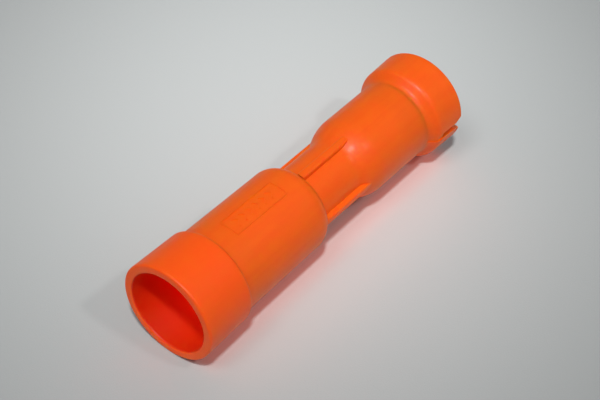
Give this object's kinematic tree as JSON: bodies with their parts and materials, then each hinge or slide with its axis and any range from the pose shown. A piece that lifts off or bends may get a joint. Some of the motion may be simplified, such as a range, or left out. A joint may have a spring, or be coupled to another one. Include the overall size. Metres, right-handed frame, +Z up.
{
  "type": "in-line twist wire connector",
  "caption": "Hollow in-line connector lying on its side: open mouth collar, barrel, ribbed waist that swivels, second barrel and split collar, with a gripping spring at each end.",
  "frame": {"origin": "centre of the open mouth, on the common axis of both barrels, in the plane of the mouth rim", "axes": "+X along the axis from the open mouth to the split collar, +Z up through the middle of the framed panel, slit on the -Y side, 2.9 degrees below it"},
  "size_m": [0.0964, 0.0258, 0.0258],
  "materials": {
    "orange_moulding": "satin moulded plastic, fine texture",
    "carrier_moulding": "matte moulded plastic",
    "spring_steel": "drawn square wire, zinc plated",
    "washer_steel": "stamped and tumbled",
    "contact_brass": "drawn tube, lightly tarnished"
  },
  "bodies": {
    "mouth_half": {"mouth_collar": "orange_moulding", "label_barrel": "orange_moulding", "mouth_spring_carrier": "carrier_moulding", "mouth_spring": "spring_steel", "thrust_washer": "washer_steel"},
    "split_half": {"ribbed_barrel": "orange_moulding", "split_collar": "orange_moulding", "split_spring_carrier": "carrier_moulding", "split_spring": "spring_steel", "contact_tube": "contact_brass", "retaining_ring": "spring_steel"}
  },
  "joints": [
    {"name": "waist_swivel", "type": "hinge", "parent": "mouth_half", "child": "split_half", "pos_m": [0.0444, 0, 0], "axis": [1, 0, 0], "continuous": true}
  ]
}
